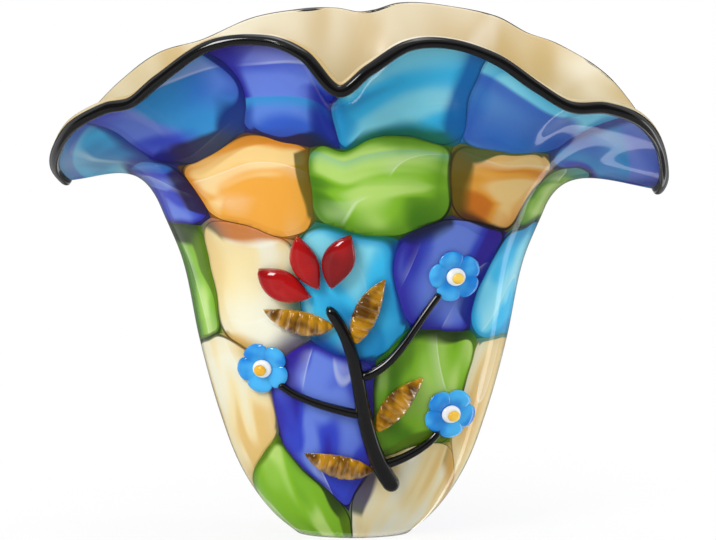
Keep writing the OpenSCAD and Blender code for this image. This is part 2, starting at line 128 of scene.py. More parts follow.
# Lip: angle round the vase, shares of its reach and height, rise of the edge in degrees, turn at the neck
LIP_SHARES = [
    (-180, .932, .682, -3, 1.38), (-170, .974, .711, -3, 1.26), (-160, 1.003, .752, -1, 1),
    (-150, 1.018, .802, 2, .68), (-141, 1, .838, 10, .68), (-134.5, .985, .853, 20, .74),
    (-129, .965, .894, 32, .8), (-118, .945, .961, 50, .95), (-107, .931, .973, 58, 1),
    (-99, .972, .946, 45, 1), (-92.5, 1.015, .882, 25, .95), (-87, .995, .92, 38, 1),
    (-79.5, .95, .964, 56, 1), (-71, .935, .966, 58, 1), (-62, .948, .936, 48, .95),
    (-54, .97, .884, 32, .85), (-47, .995, .845, 18, .75), (-38, 1.01, .838, 10, .68),
    (-28, 1.024, .811, 4, .68), (-17, 1.022, .758, -2, .8), (-7, 1.012, .692, -7, .96),
    (0, .992, .664, -9, 1.04), (7, .99, .686, -8, .98), (15, 1, .744, -4, .8), (24, 1.002, .803, 2, .7),
    (34, .995, .864, 14, .7), (46, .977, .917, 32, .85), (53, .966, .938, 42, .9),
    (60, .956, .97, 50, .95), (72, .938, .992, 57, 1), (80, .933, .9945, 58, 1), (85, .94, .98, 56, 1),
    (89, .966, .974, 50, 1), (94, .955, .983, 54, 1), (101, .932, .982, 57, 1),
    (111, .943, .966, 54, 1), (122, .957, .923, 44, .9), (132, .972, .898, 34, .85),
    (142, .979, .845, 18, .74), (152, .982, .785, 4, .8), (166, .958, .718, -3, 1.18),
]
TURN_SHARE = 0.42
# How far, in degrees, the wall's columns move toward the front and the back, which evens their spacing
COLUMN_SHIFT = 4.5
# Columns round the vase, and rows up it or points round a section
SHELL_COLUMNS, SHELL_ROWS = 360, 130
SHARD_COLUMNS, SHARD_ROWS = 600, 210
WRAP_COLUMNS, WRAP_SIDES = 640, 24
STEM_STEPS, STEM_SIDES = 170, 28
BRANCH_STEPS, LEAF_STEPS, TRAIL_SIDES = 120, 160, 24
PETAL_SIDES, PETAL_RINGS = 24, 26
DOME_SIDES, DOME_RINGS = 48, 10

# Shards: colour and number, angle round the vase, place up the wall (1 is the neck, 2 the lip)
SHARDS = [
    ("green_01", -132, .15), ("cream_01", -52, .13), ("cobalt_01", 48, .15), ("green_02", 132, .14),
    ("cream_02", -150, .44), ("cobalt_02", -103, .42), ("green_03", -60, .46), ("cream_03", -22, .44),
    ("aqua_01", 34, .44), ("green_04", 92, .42), ("cobalt_03", 152, .45), ("green_05", -162, .82),
    ("cream_04", -126, .77), ("aqua_02", -91, .80), ("cobalt_04", -58, .86), ("aqua_03", -20, .80),
    ("cream_05", 30, .84), ("aqua_04", 84, .82), ("green_09", 144, .82), ("cobalt_05", -158, 1.18),
    ("amber_01", -119, 1.24), ("green_06", -82, 1.22), ("amber_02", -46, 1.27), ("green_07", -14, 1.20),
    ("amber_03", 46, 1.24), ("green_08", 96, 1.24), ("amber_04", 152, 1.22), ("aqua_05", -163, 1.66),
    ("cobalt_06", -132, 1.68), ("cobalt_07", -106, 1.70), ("aqua_06", -78, 1.70), ("aqua_07", -49, 1.70),
    ("cobalt_08", -18, 1.64), ("aqua_08", 18, 1.64), ("cobalt_09", 62, 1.70), ("aqua_09", 115, 1.70),
    ("cobalt_10", 156, 1.66),
]
# The shards' map, in shares of the neck's height: for a degree, for the body and for the flare
MAP_DEGREE_SHARE = 0.0088
MAP_BODY_SHARE = 1.05
MAP_FLARE_SHARE = 0.62
# Drift of the seams: the size of its waves, and how far they push a seam, in mm on the map
DRIFT = [(52 * MM, 11.0), (19 * MM, 2.6)]
# Without a seed the drift differs from run to run
DRIFT_SEED = 5
# Radius in mm at which the shards' corners are rounded, and how softly a seam passes to the next shard
CORNER_MM = 9.0
BLEND_MM = 2.0
# Of two shards the one of higher rank laps over the other; the ranks go through the shards by this step
LAP_STEP = 7
# Settling of points on the seams: rounds, the share of a cell that tests the slope, the farthest move, and
# the slope and the crossing of two seams below which none is counted
SETTLE_ROUNDS = 3
SETTLE_PROBE = 0.25
SETTLE_REACH = 0.8
SETTLE_SLOPE, SETTLE_CROSSING = 1e-9, 1e-6
# Share of the deep tone in what a shard shows of its neighbour
BESIDE_DEEP_SHARE = 0.6
# Place up the wall from which the glass is drawn out into streaks, and over how much of the wall
DRAWN_FROM, DRAWN_OVER = 1.28, 0.2
# Radius at which the clouds in the glass are laid round the vase, and how it narrows on the flare
CLOUD_RADIUS, CLOUD_NARROWING = 0.16, 0.6
NARROW_FROM, NARROW_OVER = 1.1, 0.3
# Steps by which the clouds differ from shard to shard, and after how many shards each comes again
CLOUD_STEPS = np.array([0.37, 0.53, 0.29])
CLOUD_CYCLES = np.array([7, 5, 11])

# Twig, in shares of the neck's half width and height
STEM_SHARES = [(.22, .17), (-.03, .38), (.10, .58), (-.13, .74)]
BLOSSOM_SHARES = [(.52, .825), (-.46, .545), (.50, .40)]
# Branches: place along the stem, side, bend, side from which the end meets its blossom
BRANCH_SHARES = [("right", .60, 1, .30, 228), ("left", .40, -1, .24, 318), ("low", .14, 1, .22, 236)]
# Leaves: place along the stem, side, direction in degrees
LEAF_SHARES = [(.88, -1, 168), (.78, 1, 66), (.10, -1, 166), (.30, 1, 50)]

# Studio, as levels of white: in front, beside the white back wall, at the sides, overhead and all round
FRONT_LEVEL = 0.06
FLAG_LEVEL = 0.06
SIDE_LEVEL = 0.5
CEILING_LEVEL = 0.35
AMBIENT = 0.7
# Light that reaches the shards through the casing, from the studio and from the floor
LIGHT_THROUGH_SKIN = 0.9
FLOOR_LIGHT = 1.3
# Shares by which the floor's own glow takes the place of its paint, for mirror rays and for rays in glass
FLOOR_GLOW_MIRRORED, FLOOR_GLOW_PASSING = 0.8, 0.9
# To the camera that share grows from this near the foot to all of it where the shadow ends
FLOOR_GLOW_SEEN = 0.86
SHADOW_NEAR, SHADOW_END = 50 * MM, 300 * MM
# Pools of light painted into the floor's glow for mirror rays: direction and half width in degrees, counted
# from the front, and level
PAINTED_LIGHT_POOLS = [(97, 5, 3.0), (-42, 9, 0.2)]
POOL_CORE_SHARE = 0.6
FLOOR_REACH = 15.0
# Soft boxes: place, aim, width, height, watts, and whether the glass mirrors it
SOFTBOXES = {
    "key_softbox": ((-1.05, -1.2, 1.3), (0, 0, 0.18), 0.6, 0.8, 18, True),
    "side_softbox": ((1.2, 0.15, 0.6), (0, 0, 0.2), 0.2, 1.15, 6, False),
    "top_softbox": ((0.1, 0.1, 1.7), (0, 0, 0.2), 0.9, 0.6, 3, True),
}
# Camera: a pixel's size at the vase sets the lens
CAMERA_DISTANCE = 1800 * MM
CAMERA_ELEVATION = 8
CAMERA_AIM = Vector((2.85 * MM, 0, 152 * MM))
PIXEL = 0.5705 * MM
FRAME_WIDTH = 716


# Curves through the tables

def monotone_curve(table):
    """A smooth curve through rising points that never overshoots them, and its slope at the end."""
    x, y = np.array(table, float).T
    step, rise = np.diff(x), np.diff(y) / np.diff(x)
    inner = (step[:-1] + step[1:]) / (step[:-1] / rise[1:] + step[1:] / rise[:-1])
    slope = np.concatenate([rise[:1], inner, rise[-1:]])

    def at(value):
        i = np.clip(np.searchsorted(x, value, side="right") - 1, 0, len(x) - 2)
        h = step[i]
        u = (value - x[i]) / h
        return hermite(y[i], y[i + 1], slope[i] * h, slope[i + 1] * h, u)
    return at, rise[-1]


def hermite(start, end, leave, arrive, u):
    return ((2 * u**3 - 3 * u**2 + 1) * start + (u**3 - 2 * u**2 + u) * leave
            + (3 * u**2 - 2 * u**3) * end + (u**3 - u**2) * arrive)


body_at, BODY_END_SLOPE = monotone_curve(BODY_SHARES)


def lip_at(t):
    """Reach, height, rise and turn of the lip at angles t, round a closed loop."""
    rows = np.array(LIP_SHARES, float)
    turn = rows * 0
    turn[:, 0] = 360
    rows = np.concatenate([rows[-2:] - turn[-2:], rows, rows[:3] + turn[:3]])
    w = (np.asarray(t, float) + 180) % 360 - 180
    i = np.searchsorted(rows[:, 0], w, side="right") - 1
    a, b, c, d = (rows[i + k] for k in (-1, 0, 1, 2))
    h = (c - b)[..., :1]
    leave = (c - a) / (c - a)[..., :1] * h
    arrive = (d - b) / (d - b)[..., :1] * h
    row = hermite(b, c, leave, arrive, ((w - b[..., 0]) / h[..., 0])[..., None])
    return [row[..., k] for k in (1, 2, 3, 4)]


def unit(v):
    return v / np.linalg.norm(v, axis=-1, keepdims=True)


def half_width(v):
    return FOOT_HALF_WIDTH + (NECK_HALF_WIDTH - FOOT_HALF_WIDTH) * body_at(v)


def wall(t, v):
    """The wall's outer face at angles t and places v: 0 is the foot, 1 the neck, 2 the lip."""
    t, v = np.broadcast_arrays(np.asarray(t, float), np.asarray(v, float))
    c, s = np.cos(np.radians(t)), np.sin(np.radians(t))
    low = np.clip(v, 0, 1)
    depth = FOOT_HALF_DEPTH + (NECK_HALF_DEPTH - FOOT_HALF_DEPTH) * body_at(low)
    body = np.stack([half_width(low) * c, depth * s, NECK_HEIGHT * low], -1)
    reach, height, lean, turn = lip_at(t)
    neck = np.stack([NECK_HALF_WIDTH * c, NECK_HALF_DEPTH * s, NECK_HEIGHT + 0 * c], -1)
    edge = np.stack([LIP_HALF_WIDTH * reach * c, LIP_HALF_DEPTH * reach * s, LIP_HEIGHT * height], -1)
    pull = TURN_SHARE * np.linalg.norm(edge - neck, axis=-1, keepdims=True)
    up = unit(np.stack([(NECK_HALF_WIDTH - FOOT_HALF_WIDTH) * BODY_END_SLOPE * c,
                        (NECK_HALF_DEPTH - FOOT_HALF_DEPTH) * BODY_END_SLOPE * s, NECK_HEIGHT + 0 * c], -1))
    out = unit((edge - neck) * [1, 1, 0])
    lean = np.radians(lean)[..., None]
    tip = out * np.cos(lean) + np.array([0, 0, 1]) * np.sin(lean)
    flare = bezier([neck, neck + up * pull * turn[..., None], edge - tip * pull, edge], np.clip(v - 1, 0, 1))
    return np.where((v > 1)[..., None], flare, body)


def bezier(points, s):
    a, b, c, d = (np.asarray(p, float) for p in points)
    s = np.asarray(s, float)[..., None]
    w = 1 - s
    return w**3 * a + 3 * w * w * s * b + 3 * w * s * s * c + s**3 * d


def wall_frame(t, v):
    """Point on the wall, the outward direction and the direction up the wall."""
    nudge, turn = 0.004, 0.3
    t, v = np.broadcast_arrays(np.asarray(t, float), np.asarray(v, float))
    up = wall(t, np.minimum(2, v + nudge)) - wall(t, np.maximum(0, v - nudge))
    around = wall(t + turn, v) - wall(t - turn, v)
    return wall(t, v), unit(np.cross(around, up)), unit(up)


def inside(t, v, depth):
    point, outward, _ = wall_frame(t, v)
    return point - depth * outward


def column_angles(count):
    a = -180 + 360 * np.arange(count) / count
    return a + COLUMN_SHIFT * np.sin(np.radians(2 * a))


# Meshes

def in_scene(name, data):
    thing = bpy.data.objects.new(name, data)
    bpy.context.scene.collection.objects.link(thing)
    return thing


def new_piece(mesh, glass, node):
    """Puts a mesh in the scene as a piece that rides on the vase and stands for a CAD node."""
    piece = in_scene(mesh.name, mesh)
    mesh.materials.clear()
    mesh.materials.append(glass)
    mesh.shade_smooth()
    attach(piece, "root")
    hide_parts(node)
    return piece


def mesh_of(name, points, faces=(), edges=()):
    mesh = bpy.data.meshes.new(name)
    mesh.from_pydata(np.asarray(points, float).tolist(), edges, [list(map(int, f)) for f in faces])
    mesh.update()
    return mesh


def measure_points(mesh, **measures):
    """Gives each point of a mesh its numbers, directions or colours, under their names."""
    kinds = {1: ("FLOAT", "value"), 3: ("FLOAT_VECTOR", "vector"), 4: ("FLOAT_COLOR", "color")}
    for label, values in measures.items():
        values = np.asarray(values, float).reshape(len(mesh.vertices), -1)
        kind, field = kinds[values.shape[1]]
        mesh.attributes.new(label, kind, "POINT").data.foreach_set(field, values.ravel())


def path_mesh(name, points, closed=False, **measures):
    """A line of points as a mesh, with a measure at each point."""
    count = len(points)
    mesh = mesh_of(name, points, edges=[(k, (k + 1) % count) for k in range(count if closed else count - 1)])
    measure_points(mesh, **measures)
    return mesh


def ring_faces(first, second):
    """Quads between two closed rings of point numbers."""
    return np.stack([first, np.roll(first, -1), np.roll(second, -1), second], -1)


def loft_mesh(name, rings, start, finish):
    """A closed skin over rings of like count, with a fan on a point at each end."""
    rings = np.asarray(rings)
    many, count = rings.shape[:2]
    points = np.concatenate([rings.reshape(-1, 3), [start, finish]])
    numbers = np.arange(many * count).reshape(many, count)
    faces = list(np.concatenate([ring_faces(numbers[k], numbers[k + 1]) for k in range(many - 1)]))
    for ring, tip in ((numbers[0][::-1], many * count), (numbers[-1], many * count + 1)):
        faces += [(tip, a, b) for a, b in zip(ring, np.roll(ring, -1))]
    return mesh_of(name, points, faces)


def flat_ring(ring, height):
    ring = ring.copy()
    ring[:, 2] = height
    return ring


def lip_ring(t, depth, drop):
    point, outward, up = wall_frame(t, 2)
    return point - depth * outward - drop * up


def shell_mesh(name, outer, inner, foot, floor_row, floor, edge):
    """A vessel layer: up its outer face, over the lip's spots (depth, drop) and down to a flat floor."""
    t = column_angles(SHELL_COLUMNS)
    up = np.linspace(FIRST_ROW, LAST_ROW, SHELL_ROWS)
    under = flat_ring(inside(t, 0, outer), foot)
    first = [inside(t, v, outer) for v in up]
    last = [inside(t, v, inner) for v in up[::-1] if v > floor_row]
    over = flat_ring(inside(t, floor_row, inner), floor)
    rings = [under] + first + [lip_ring(t, *spot) for spot in edge] + last + [over]
    return loft_mesh(name, rings, (0, 0, foot), (0, 0, floor))


# Node helpers

def srgb(red, green, blue):
    """A colour as a paint chart gives it, 0 to 255, in linear light."""
    def linear(c):
        c /= 255
        return c / 12.92 if c <= 0.04045 else ((c + 0.055) / 1.055) ** 2.4
    return linear(red), linear(green), linear(blue), 1.0


def grey(level):
    return level, level, level, 1


WHITE = grey(1)


class Nodes:
    """A short hand for node trees: add a node, set its plain inputs, link the rest."""

    def __init__(self, tree, given=(), result=()):
        self.tree, self.given, self.result = tree, given, result

    def fill(self, sockets, values):
        for key, value in dict(values).items():
            if isinstance(value, bpy.types.NodeSocket):
                self.tree.links.new(value, sockets[key])
            else:
                sockets[key].default_value = value

    def add(self, kind, inputs=(), family="ShaderNode", **settings):
        node = self.tree.nodes.new(family + kind)
        for name, value in settings.items():
            setattr(node, name, value)
        self.fill(node.inputs, inputs)
        return node

    def out(self, kind, inputs=(), output=0, **settings):
        return self.add(kind, inputs, **settings).outputs[output]

    def maths(self, operation, a, b=0.0):
        return self.out("Math", {0: a, 1: b}, operation=operation)

    def times(self, value, *factors):
        for factor in factors:
            value = self.maths("MULTIPLY", value, factor)
        return value

    plus = partialmethod(maths, "ADD")
    minus = partialmethod(maths, "SUBTRACT")
    over = partialmethod(maths, "DIVIDE")
    most = partialmethod(maths, "MAXIMUM")
    size_of = partialmethod(maths, "ABSOLUTE")

    def ramp(self, value, low, high, to_low=0.0, to_high=1.0, kind="SMOOTHSTEP"):
        spans = {"Value": value, "From Min": low, "From Max": high, "To Min": to_low, "To Max": to_high}
        return self.out("MapRange", spans, interpolation_type=kind)

    def clouds(self, place, scale, detail=2.0, roughness=0.5, distortion=0.0):
        return self.out("TexNoise", {"Vector": place, "Scale": scale, "Detail": detail,
                                     "Roughness": roughness, "Distortion": distortion})

    def mix(self, share, a, b, blend="MIX"):
        return self.out("Mix", {0: share, 6: a, 7: b}, 2, data_type="RGBA", blend_type=blend)

    def tint(self, a, b):
        return self.mix(1.0, a, b, "MULTIPLY")

    def coats(self, colour, *coats):
        """Lays colours over a first one, each by its own share."""
        for share, over in coats:
            colour = self.mix(share, colour, over)
        return colour

    def vector(self, operation, a, b):
        return self.out("VectorMath", {0: a, 1: b}, operation=operation)

    def scaled(self, vector, factor):
        return self.out("VectorMath", {0: vector, "Scale": factor}, operation="SCALE")

    def split(self, vector):
        return self.add("SeparateXYZ", {"Vector": vector}).outputs

    def joined(self, x=0.0, y=0.0, z=0.0):
        return self.out("CombineXYZ", {"X": x, "Y": y, "Z": z})

    def place(self):
        """The Object coordinates."""
        return self.out("TexCoord", output=3)

    def attribute(self, name, output):
        """A measure of the mesh: output 0 gives it as a colour, 1 as a direction, 2 as a number."""
        return self.out("Attribute", output=output, attribute_name=name)

    def bump(self, height, strength, distance):
        return self.out("Bump", {"Strength": strength, "Distance": distance, "Height": height})

    def group(self, tree, inputs):
        return self.add("Group", inputs, node_tree=tree).outputs

    def geo(self, kind, inputs=(), **settings):
        return self.out(kind, inputs, family="GeometryNode", **settings)

    def named(self, name, kind="FLOAT"):
        return self.geo("InputNamedAttribute", {"Name": name}, data_type=kind)

    def store(self, shape, name, value, kind="FLOAT"):
        inputs = {"Geometry": shape, "Name": name, "Value": value}
        return self.geo("StoreNamedAttribute", inputs, data_type=kind, domain="POINT")


def new_tree(name, inputs, outputs, kind="ShaderNodeTree"):
    """An empty node tree, and the named sockets it is given."""
    tree = bpy.data.node_groups.new(name, kind)
    for side, sockets in (("INPUT", inputs), ("OUTPUT", outputs)):
        for label, socket in sockets.items():
            tree.interface.new_socket(label, in_out=side, socket_type="NodeSocket" + socket)
    given, result = tree.nodes.new("NodeGroupInput").outputs, tree.nodes.new("NodeGroupOutput").inputs
    return Nodes(tree, given, result), given


def finish_tree(nodes, results):
    nodes.fill(nodes.result, results)
    return nodes.tree


def floats(labels):
    return dict.fromkeys(labels, "Float")


def new_shaping(name, sizes, counts=()):
    """An empty geometry tree, with its named sizes and counts and its glass."""
    inputs = {"Geometry": "Geometry", **floats(sizes), **dict.fromkeys(counts, "Int"), "Glass": "Material"}
    return new_tree(name, inputs, {"Geometry": "Geometry"}, "GeometryNodeTree")


def finish_shaping(nodes, shape):
    """Ends a geometry tree: instances made real, smooth, and in their glass."""
    real = nodes.geo("RealizeInstances", {"Geometry": shape})
    smooth = nodes.geo("SetShadeSmooth", {"Geometry": real})
    whole = nodes.geo("SetMaterial", {"Geometry": smooth, "Material": nodes.given["Glass"]})
    return finish_tree(nodes, {"Geometry": whole})


def shaped(name, mesh, tree, sizes):
    """Runs a geometry tree over a mesh and gives back the plain mesh that comes out."""
    blank = in_scene(name, mesh)
    modifier = blank.modifiers.new("shaping", "NODES")
    modifier.node_group = tree
    sockets = {item.name: item.identifier for item in tree.interface.items_tree if item.in_out == "INPUT"}
    for label, value in sizes.items():
        modifier[sockets[label]] = value
    graph = bpy.context.evaluated_depsgraph_get()
    made = blank.evaluated_get(graph)
    result = bpy.data.meshes.new_from_object(made, preserve_all_data_layers=True, depsgraph=graph)
    result.name = name
    blank.modifiers.remove(modifier)
    bpy.data.objects.remove(blank)
    return result


# Geometry trees

def pulled_glass_tree():
    """A trail of glass along a flat path: rounded above, flat below, with ribs pressed across it."""
    sizes = ["Width", "Height", "Ribs", "Rib Depth"]
    nodes, given = new_shaping("pulled_glass", sizes, ["Steps", "Sides"])
    # Share of the height at which the trail is widest, and how narrow the crests between the grooves are
    widest, crest = 0.28, 1.3
    path = nodes.geo("MeshToCurve", {"Mesh": given["Geometry"]})
    path = nodes.geo("ResampleCurve", {"Curve": path, "Count": given["Steps"]})
    path = nodes.geo("SetCurveNormal", {"Curve": path}, mode="Z_UP")
    path = nodes.store(path, "along", nodes.geo("SplineParameter"))
    circle = nodes.geo("CurvePrimitiveCircle", {"Resolution": given["Sides"], "Radius": 0.5})
    side, up, _ = nodes.split(nodes.geo("InputPosition"))
    above = nodes.maths("GREATER_THAN", up, 0.0)
    share = nodes.plus(2 * widest, nodes.times(above, 2 - 4 * widest))
    rise = nodes.plus(nodes.times(up, share), widest)
    section = nodes.joined(nodes.times(side, given["Width"]), nodes.times(rise, given["Height"]))
    circle = nodes.geo("SetPosition", {"Geometry": circle, "Position": section})
    trail = nodes.geo("CurveToMesh", {
        "Curve": path, "Profile Curve": circle, "Scale": nodes.named("spread"), "Fill Caps": True})
    turn = nodes.times(nodes.named("along"), given["Ribs"], math.pi)
    groove = nodes.minus(1.0, nodes.maths("POWER", nodes.size_of(nodes.maths("COSINE", turn)), crest))
    rib = nodes.minus(1.0, nodes.times(groove, given["Rib Depth"]))
    x, y, z = nodes.split(nodes.geo("InputPosition"))
    up = nodes.times(nodes.size_of(z), nodes.named("fuller"), rib)
    trail = nodes.geo("SetPosition", {"Geometry": trail, "Position": nodes.joined(x, y, up)})
    return finish_shaping(nodes, trail)


def lip_bead_tree():
    """A bead of glass round the lip, on a path that knows which way is outward and which is up."""
    sizes = ["Half Width", "Half Height", "Down", "In", "Unevenness"]
    nodes, given = new_shaping("lip_bead", sizes, ["Sides"])
    path = nodes.geo("MeshToCurve", {"Mesh": given["Geometry"]})
    path = nodes.store(path, "spine", nodes.geo("InputPosition"), "FLOAT_VECTOR")
    circle = nodes.geo("CurvePrimitiveCircle", {"Resolution": given["Sides"], "Radius": 1.0})
    circle = nodes.store(circle, "spot", nodes.geo("InputPosition"), "FLOAT_VECTOR")
    bead = nodes.geo("CurveToMesh", {"Curve": path, "Profile Curve": circle, "Scale": MM})
    spot, spine, outward, upward = (
        nodes.named(name, "FLOAT_VECTOR") for name in ("spot", "spine", "outward", "upward"))
    wave = nodes.minus(nodes.clouds(spine, 30.0, 1.0), 0.5)
    swell = nodes.plus(1.0, nodes.times(wave, given["Unevenness"]))
    across, off, _ = nodes.split(spot)
    down = nodes.plus(nodes.times(across, given["Half Width"], swell), given["Down"])
    out = nodes.minus(nodes.times(off, given["Half Height"], swell), given["In"])
    place = nodes.vector("ADD", spine, nodes.scaled(outward, out))
    place = nodes.vector("ADD", place, nodes.scaled(upward, nodes.times(down, -1.0)))
    bead = nodes.geo("SetPosition", {"Geometry": bead, "Position": place})
    return finish_shaping(nodes, bead)


def petal_ring_tree():
    """Sets one petal round a middle as often as the blossom has petals."""
    nodes, given = new_shaping("petal_ring", ["Reach", "Turn"], ["Petals"])
    spots = nodes.geo("MeshCircle", {"Vertices": given["Petals"], "Radius": given["Reach"]})
    x, y, _ = nodes.split(nodes.geo("InputPosition"))
    angle = nodes.joined(z=nodes.maths("ARCTAN2", y, x))
    facing = nodes.out("EulerToRotation", {0: angle}, family="FunctionNode")
    petals = nodes.geo("InstanceOnPoints", {
        "Points": spots, "Instance": given["Geometry"], "Rotation": facing})
    petals = nodes.geo("RotateInstances", {
        "Instances": petals, "Rotation": nodes.joined(z=given["Turn"]), "Pivot Point": (0, 0, 0),
        "Local Space": False})
    return finish_shaping(nodes, petals)


def glass_plate_tree():
    """Turns a patch of the wall, which knows its outward direction, into a closed plate under the skin."""
    nodes, given = new_shaping("glass_plate", ["Depth", "Thickness"])
    outward = nodes.named("outward", "FLOAT_VECTOR")

    def inward(far):
        return nodes.scaled(outward, nodes.times(far, -1.0))

    face = nodes.geo("SetPosition", {"Geometry": given["Geometry"], "Offset": inward(given["Depth"])})
    offset = inward(given["Thickness"])
    back = nodes.geo("ExtrudeMesh", {
        "Mesh": face, "Offset": offset, "Offset Scale": 1.0, "Individual": False}, mode="FACES")
    join = nodes.add("JoinGeometry", family="GeometryNode")
    for part in (nodes.geo("FlipFaces", {"Mesh": back}), face):
        nodes.fill(join.inputs, {0: part})
    plate = nodes.geo("MergeByDistance", {"Geometry": join.outputs[0], "Distance": 0.001 * MM})
    return finish_shaping(nodes, plate)


PULLED_GLASS = pulled_glass_tree()
LIP_BEAD = lip_bead_tree()
PETAL_RING = petal_ring_tree()
GLASS_PLATE = glass_plate_tree()


# Glass

def glass_flow_group():
    """Slow clouds, pale one-sided folds and long streaks, as in glass that was drawn out while soft; on the
    opal lining the pale folds are painted light on its folds.
    """
    inputs = {"Size": "Float", "Soft": "Float", "Place": "Vector"}
    outputs = floats(["Cloud", "Fold", "Tone", "Streak"])
    nodes, given = new_tree("glass_flow", inputs, outputs)
    place = given["Place"]
    scale = nodes.over(1.0, given["Size"])
    cloud = nodes.clouds(place, scale, 1.0, 0.4, 0.5)
    tone = nodes.clouds(place, nodes.times(scale, 0.3))
    # A fold is a crest that begins sharply on one side and fades out on the other
    far = nodes.vector("ADD", place, (0.7, 0.3, 0.9))
    crest = nodes.minus(nodes.clouds(far, nodes.times(scale, 0.55), 0.0, distortion=0.35), 0.5)
    edge = nodes.over(crest, given["Soft"])
    behind = nodes.ramp(edge, -0.003, 0.002)
    where = nodes.ramp(nodes.clouds(far, scale, 0.0), 0.40, 0.56)
    glow = nodes.ramp(crest, 0.0, 0.12, 0.5, 0.0)
    crisp = nodes.ramp(edge, 0.002, 0.012, 1.0, 0.0)
    fold = nodes.times(behind, where, nodes.most(glow, crisp))
    # Streaks lie across the wall, so their clouds are twice as long that way
    across = nodes.vector("MULTIPLY", far, (0.5, 0.5, 1.0))
    run = nodes.minus(nodes.clouds(across, nodes.times(scale, 0.8), 0.0, distortion=0.3), 0.52)
    streak = nodes.times(nodes.ramp(run, -0.012, 0.018), nodes.ramp(run, 0.03, 0.16, 1.0, 0.25))
    return finish_tree(nodes, {"Cloud": nodes.ramp(cloud, 0.32, 0.68), "Fold": fold,
                               "Tone": nodes.ramp(tone, 0.35, 0.65), "Streak": streak})


def seam_group():
    """From the distance to a shard's edge: the dark line, the lap over the next shard and the open middle."""
    inputs = floats(["Distance", "Drawn", "Under"])
    nodes, given = new_tree("shard_seam", inputs, floats(["Line", "Lap", "Middle"]))
    place = nodes.place()
    far, drawn, under = given["Distance"], given["Drawn"], given["Under"]

    def changing(scale, low, high, least, greatest):
        """A value that drifts over the wall between two levels."""
        return nodes.ramp(nodes.clouds(place, scale, 0.0), low, high, least, greatest)

    # Widths in mm of the dark line and of the lap, and how fast the middle opens from the edge
    wander = nodes.clouds(place, 24.0, 1.0)
    line_width = nodes.ramp(wander, 0.36, 0.66, 0.35, 1.9)
    lap_width = changing(16.0, 0.36, 0.62, 2.5, 14.0)
    rim = nodes.ramp(wander, 0.38, 0.62, 1.6, 0.5)
    line = nodes.ramp(nodes.over(nodes.size_of(far), line_width), 0.35, 1.15, 1.0, 0.0)
    strong = nodes.times(changing(13.0, 0.40, 0.58, 0.0, 1.0), nodes.ramp(drawn, 0, 1, 1.0, 0.3))
    corner = nodes.ramp(far, -0.5, 0.2, 1.0, 0.0)
    sharp = changing(9.0, 0.4, 0.6, 0.1, 0.85)
    lap = nodes.ramp(nodes.over(far, lap_width), sharp, 1.1, 1.0, 0.0)
    lap = nodes.times(lap, nodes.ramp(under, 0.3, 0.7))
    open_edge = changing(11.0, 0.48, 0.62, 0.0, 0.75)
    middle = nodes.most(nodes.ramp(nodes.times(far, rim), 0.5, 9.0), open_edge)
    return finish_tree(nodes, {
        "Line": nodes.times(line, strong), "Lap": nodes.most(lap, corner), "Middle": middle})


GLASS_FLOW = glass_flow_group()
SHARD_SEAM = seam_group()


def new_material(name, slot=None):
    """A material that remembers its slot of the record, its nodes and the sockets of its surface."""
    material = bpy.data.materials.new(name)
    material["slot"] = slot or name
    material.use_nodes = True
    surface = material.node_tree.nodes["Principled BSDF"].inputs
    return material, Nodes(material.node_tree), surface


def shard_material(name, deep, full, pale, partner, size):
    """Coloured glass: deep at its edges, lighter in the middle, dark where the next shard laps over it."""
    material, nodes, surface = new_material(name)
    far, drawn, under = (nodes.attribute(label, 2) for label in ("seam_mm", "drawn", "under"))
    beside = nodes.attribute("beside", 0)
    seam = nodes.group(SHARD_SEAM, {"Distance": far, "Drawn": drawn, "Under": under})
    flow = nodes.group(GLASS_FLOW, {"Size": size, "Soft": 1.5, "Place": nodes.attribute("lay", 1)})
    middle, cloud = seam["Middle"], flow["Cloud"]
    thick = nodes.times(nodes.ramp(cloud, 0.0, 0.4, 0.85, 0.0), nodes.ramp(flow["Tone"], 0.2, 0.9))
    lapped = nodes.tint(nodes.mix(0.4, deep, full), beside)
    dark = nodes.tint(nodes.tint(deep, beside), (0.25, 0.28, 0.26, 1))
    body = nodes.coats(
        nodes.mix(nodes.ramp(middle, 0, 1, 0.35, 1.0, "LINEAR"), deep, full),
        (thick, deep),
        (nodes.times(nodes.ramp(cloud, 0.35, 0.95), middle), pale),
        (nodes.times(drawn, 0.85, flow["Streak"]), partner),
        (nodes.times(middle, 0.75, flow["Fold"]), nodes.mix(0.5, pale, (0.9, 0.92, 0.88, 1))),
        (nodes.times(seam["Lap"], 0.88), lapped),
        (nodes.times(seam["Line"], 0.95), dark))
    nodes.fill(surface, {"Base Color": body, "Roughness": 0.5, "Specular IOR Level": 0.0})
    return material


def clear_material():
    """Clear glass, which looks darker where it is seen edge on."""
    material, nodes, surface = new_material("clear_glass")
    facing = nodes.out("LayerWeight", {"Blend": 0.5}, 1)
    nodes.fill(surface, {
        "Base Color": nodes.mix(nodes.ramp(facing, 0.72, 0.97), WHITE, (0.06, 0.08, 0.07, 1)),
        "Normal": nodes.bump(nodes.clouds(nodes.place(), 20.0, 1.0), 0.3, 1.5 * MM),
        "Roughness": 0.0, "IOR": 1.5, "Transmission Weight": 1.0})
    return material


